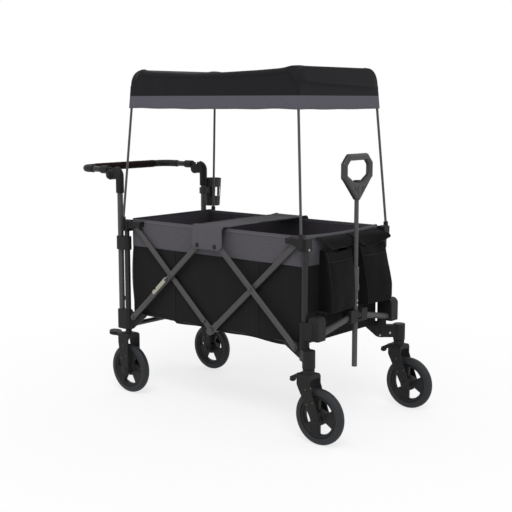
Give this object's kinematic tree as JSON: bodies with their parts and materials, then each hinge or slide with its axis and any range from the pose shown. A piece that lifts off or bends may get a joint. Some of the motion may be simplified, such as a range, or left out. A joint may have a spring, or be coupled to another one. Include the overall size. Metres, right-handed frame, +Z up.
{
  "type": "stroller wagon",
  "caption": "Folding stroller wagon with scissor side frames, cloth basket, hoop canopy, swivel front wheels, tilting push handle and telescoping pull handle.",
  "frame": {"origin": "on the floor, in the middle of the wagon's length from the push grip's rear edge to the front tyres, on the plane halfway between the right and left posts", "axes": "+X towards the pull-handle end, +Y to the wagon's left side, +Z up"},
  "size_m": [1.3224, 0.6427, 1.24],
  "materials": {
    "frame_steel": "satin powder coat",
    "arm_steel": "satin powder coat",
    "moulding": "fine moulded grain",
    "tyre_rubber": "matt",
    "basket_cloth": "coated weave",
    "grey_cloth": "melange weave",
    "canopy_cloth": "coated weave",
    "grip_leather": "smooth",
    "hook_metal": "bare"
  },
  "bodies": {
    "rear_frame": {"rear_housings": "moulding", "rear_posts": "frame_steel", "rear_crossbar": "frame_steel", "push_uprights": "frame_steel", "upright_bands": "moulding", "elbow_sockets": "moulding", "cup_holder": "moulding", "rear_forks": "moulding"},
    "rear_wheel_right_body": {"rear_wheel_right": "moulding", "rear_tyre_right": "tyre_rubber"},
    "rear_wheel_left_body": {"rear_wheel_left": "moulding", "rear_tyre_left": "tyre_rubber"},
    "brake_right": {"brake_pedal_right": "moulding"},
    "brake_left": {"brake_pedal_left": "moulding"},
    "push_handle": {"handle_elbows": "moulding", "handle_bar": "frame_steel", "handle_sleeves": "moulding", "handle_grip": "grip_leather"},
    "button_right": {"elbow_button_right": "moulding"},
    "button_left": {"elbow_button_left": "moulding"},
    "arm_1": {"scissor_arm_1": "arm_steel"},
    "arm_2": {"scissor_arm_2": "arm_steel", "centre_crossbar": "frame_steel"},
    "arm_3": {"scissor_arm_3": "arm_steel"},
    "arm_4": {"scissor_arm_4": "arm_steel"},
    "hook": {"fold_hook": "hook_metal"},
    "rear_top": {"rear_top_brackets": "moulding", "rear_inner_tubes": "frame_steel", "rear_canopy_hoop": "frame_steel", "basket_rear_wall": "basket_cloth", "basket_side_right": "grey_cloth", "basket_side_left": "grey_cloth", "basket_floor": "basket_cloth", "bridge_strap": "grey_cloth", "canopy": "canopy_cloth"},
    "front_top": {"front_top_brackets": "moulding", "front_inner_tubes": "frame_steel", "front_canopy_hoop": "frame_steel", "basket_front_wall": "basket_cloth", "front_pockets": "basket_cloth"},
    "flap_right": {"pocket_flap_right": "basket_cloth"},
    "flap_left": {"pocket_flap_left": "basket_cloth"},
    "front_frame": {"front_housings": "moulding", "front_posts": "frame_steel", "front_crossbar": "arm_steel", "pull_hub": "moulding"},
    "caster_right": {"caster_fork_right": "moulding"},
    "caster_left": {"caster_fork_left": "moulding"},
    "front_wheel_right_body": {"front_wheel_right": "moulding", "front_tyre_right": "tyre_rubber"},
    "front_wheel_left_body": {"front_wheel_left": "moulding", "front_tyre_left": "tyre_rubber"},
    "lock_right": {"swivel_lock_right": "moulding"},
    "lock_left": {"swivel_lock_left": "moulding"},
    "pull_pivot": {"pull_trunnion": "moulding"},
    "pull_outer": {"pull_outer_tube": "frame_steel"},
    "pull_inner": {"pull_inner_tube": "frame_steel", "pull_grip": "moulding"},
    "pull_button": {"grip_button": "moulding"}
  },
  "joints": [
    {"name": "fold", "type": "hinge", "parent": "rear_frame", "child": "arm_1", "pos_m": [-0.35475, 0, 0.301], "axis": [0, -1, 0], "range_deg": [0, 31], "deforming": ["basket_side_right", "basket_side_left", "basket_floor", "bridge_strap", "canopy"]},
    {"name": "cross_rear", "type": "hinge", "parent": "arm_1", "child": "arm_2", "pos_m": [-0.15775, 0, 0.48], "axis": [0, -1, 0], "range_deg": [-62, 0]},
    {"name": "rear_top_level", "type": "hinge", "parent": "arm_2", "child": "rear_top", "pos_m": [-0.35475, 0, 0.659], "axis": [0, -1, 0], "range_deg": [0, 31]},
    {"name": "middle_top", "type": "hinge", "parent": "arm_1", "child": "arm_3", "pos_m": [0.03925, 0, 0.659], "axis": [0, -1, 0], "range_deg": [-62, 0]},
    {"name": "cross_front", "type": "hinge", "parent": "arm_3", "child": "arm_4", "pos_m": [0.23625, 0, 0.48], "axis": [0, -1, 0], "range_deg": [0, 62]},
    {"name": "front_frame_level", "type": "hinge", "parent": "arm_3", "child": "front_frame", "pos_m": [0.43325, 0, 0.301], "axis": [0, -1, 0], "range_deg": [0, 31]},
    {"name": "front_top_level", "type": "hinge", "parent": "arm_4", "child": "front_top", "pos_m": [0.43325, 0, 0.659], "axis": [0, -1, 0], "range_deg": [-31, 0]},
    {"name": "hook_swing", "type": "hinge", "parent": "arm_1", "child": "hook", "pos_m": [-0.17107, -0.248, 0.4679], "axis": [0, 1, 0], "range_deg": [0, 50]},
    {"name": "push_tilt", "type": "hinge", "parent": "rear_frame", "child": "push_handle", "pos_m": [-0.46375, 0, 0.846], "axis": [0, 1, 0], "range_deg": [-75, 60]},
    {"name": "press_right", "type": "slide", "parent": "rear_frame", "child": "button_right", "axis": [0, 1, 0], "range_m": [0, 0.004], "stiffness_N_per_m": 300},
    {"name": "press_left", "type": "slide", "parent": "rear_frame", "child": "button_left", "axis": [0, -1, 0], "range_m": [0, 0.004], "stiffness_N_per_m": 300},
    {"name": "grip_press", "type": "slide", "parent": "pull_inner", "child": "pull_button", "axis": [0, 0, -1], "range_m": [0, 0.005], "stiffness_N_per_m": 300},
    {"name": "pull_swing", "type": "hinge", "parent": "front_frame", "child": "pull_pivot", "pos_m": [0.51025, 0, 0.387], "axis": [0, 1, 0], "range_deg": [0, 60]},
    {"name": "pull_raise", "type": "slide", "parent": "pull_pivot", "child": "pull_outer", "axis": [0, 0, 1], "range_m": [0, 0.176]},
    {"name": "pull_extend", "type": "slide", "parent": "pull_outer", "child": "pull_inner", "axis": [0, 0, 1], "range_m": [0, 0.25]},
    {"name": "rear_roll_right", "type": "hinge", "parent": "rear_frame", "child": "rear_wheel_right_body", "pos_m": [-0.38175, -0.235, 0.095], "axis": [0, 1, 0], "continuous": true},
    {"name": "brake_press_right", "type": "hinge", "parent": "rear_frame", "child": "brake_right", "pos_m": [-0.42575, -0.235, 0.222], "axis": [0, -1, 0], "range_deg": [0, 18]},
    {"name": "swivel_right", "type": "hinge", "parent": "front_frame", "child": "caster_right", "pos_m": [0.51825, -0.277, 0.25], "axis": [0, 0, 1], "continuous": true},
    {"name": "front_roll_right", "type": "hinge", "parent": "caster_right", "child": "front_wheel_right_body", "pos_m": [0.56625, -0.277, 0.095], "axis": [0, 1, 0], "continuous": true},
    {"name": "swivel_lock_press_right", "type": "hinge", "parent": "caster_right", "child": "lock_right", "pos_m": [0.48425, -0.277, 0.226], "axis": [0, -1, 0], "range_deg": [0, 20]},
    {"name": "flap_lift_right", "type": "hinge", "parent": "front_top", "child": "flap_right", "pos_m": [0.45125, 0, 0.678], "axis": [0, -1, 0], "range_deg": [0, 110]},
    {"name": "rear_roll_left", "type": "hinge", "parent": "rear_frame", "child": "rear_wheel_left_body", "pos_m": [-0.38175, 0.235, 0.095], "axis": [0, 1, 0], "continuous": true},
    {"name": "brake_press_left", "type": "hinge", "parent": "rear_frame", "child": "brake_left", "pos_m": [-0.42575, 0.235, 0.222], "axis": [0, -1, 0], "range_deg": [0, 18]},
    {"name": "swivel_left", "type": "hinge", "parent": "front_frame", "child": "caster_left", "pos_m": [0.51825, 0.277, 0.25], "axis": [0, 0, 1], "continuous": true},
    {"name": "front_roll_left", "type": "hinge", "parent": "caster_left", "child": "front_wheel_left_body", "pos_m": [0.56625, 0.277, 0.095], "axis": [0, 1, 0], "continuous": true},
    {"name": "swivel_lock_press_left", "type": "hinge", "parent": "caster_left", "child": "lock_left", "pos_m": [0.48425, 0.277, 0.226], "axis": [0, -1, 0], "range_deg": [0, 20]},
    {"name": "flap_lift_left", "type": "hinge", "parent": "front_top", "child": "flap_left", "pos_m": [0.45125, 0, 0.678], "axis": [0, -1, 0], "range_deg": [0, 110]}
  ],
  "couplings": [
    {"joint": "cross_rear", "follows": "fold", "ratio": -2},
    {"joint": "rear_top_level", "follows": "fold", "ratio": 1},
    {"joint": "middle_top", "follows": "fold", "ratio": -2},
    {"joint": "cross_front", "follows": "fold", "ratio": 2},
    {"joint": "front_frame_level", "follows": "fold", "ratio": 1},
    {"joint": "front_top_level", "follows": "fold", "ratio": -1},
    {"joint": "pull_raise", "follows": "pull_swing", "m_per_rad": 0.1671}
  ]
}
